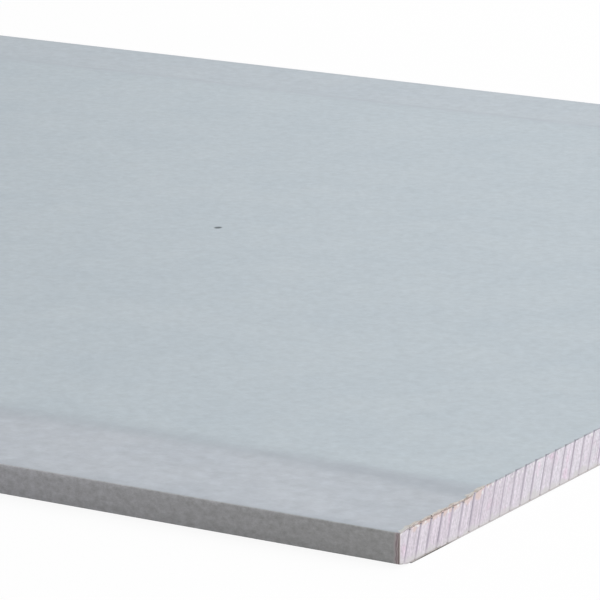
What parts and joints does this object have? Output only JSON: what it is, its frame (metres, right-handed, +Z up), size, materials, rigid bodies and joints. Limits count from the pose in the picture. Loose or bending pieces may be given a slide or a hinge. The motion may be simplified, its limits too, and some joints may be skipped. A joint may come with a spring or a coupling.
{
  "type": "drywall sheet",
  "caption": "Tapered-edge drywall sheet: a gypsum core between a wrapped face paper and a lapped back paper, sawn square at its ends, screwed to studs to line walls and ceilings",
  "frame": {"origin": "under the middle of the sheet, on the floor it lies on", "axes": "X along the length, Y across the width between the two tapered edges, Z up out of the face"},
  "size_m": [2, 0.6, 0.0125],
  "materials": {
    "gypsum": "matt, sawn",
    "face_paper": "matt",
    "back_paper": "matt"
  },
  "bodies": {
    "root": {"gypsum_core": "gypsum", "face_paper": "face_paper", "back_paper": "back_paper"}
  },
  "joints": []
}
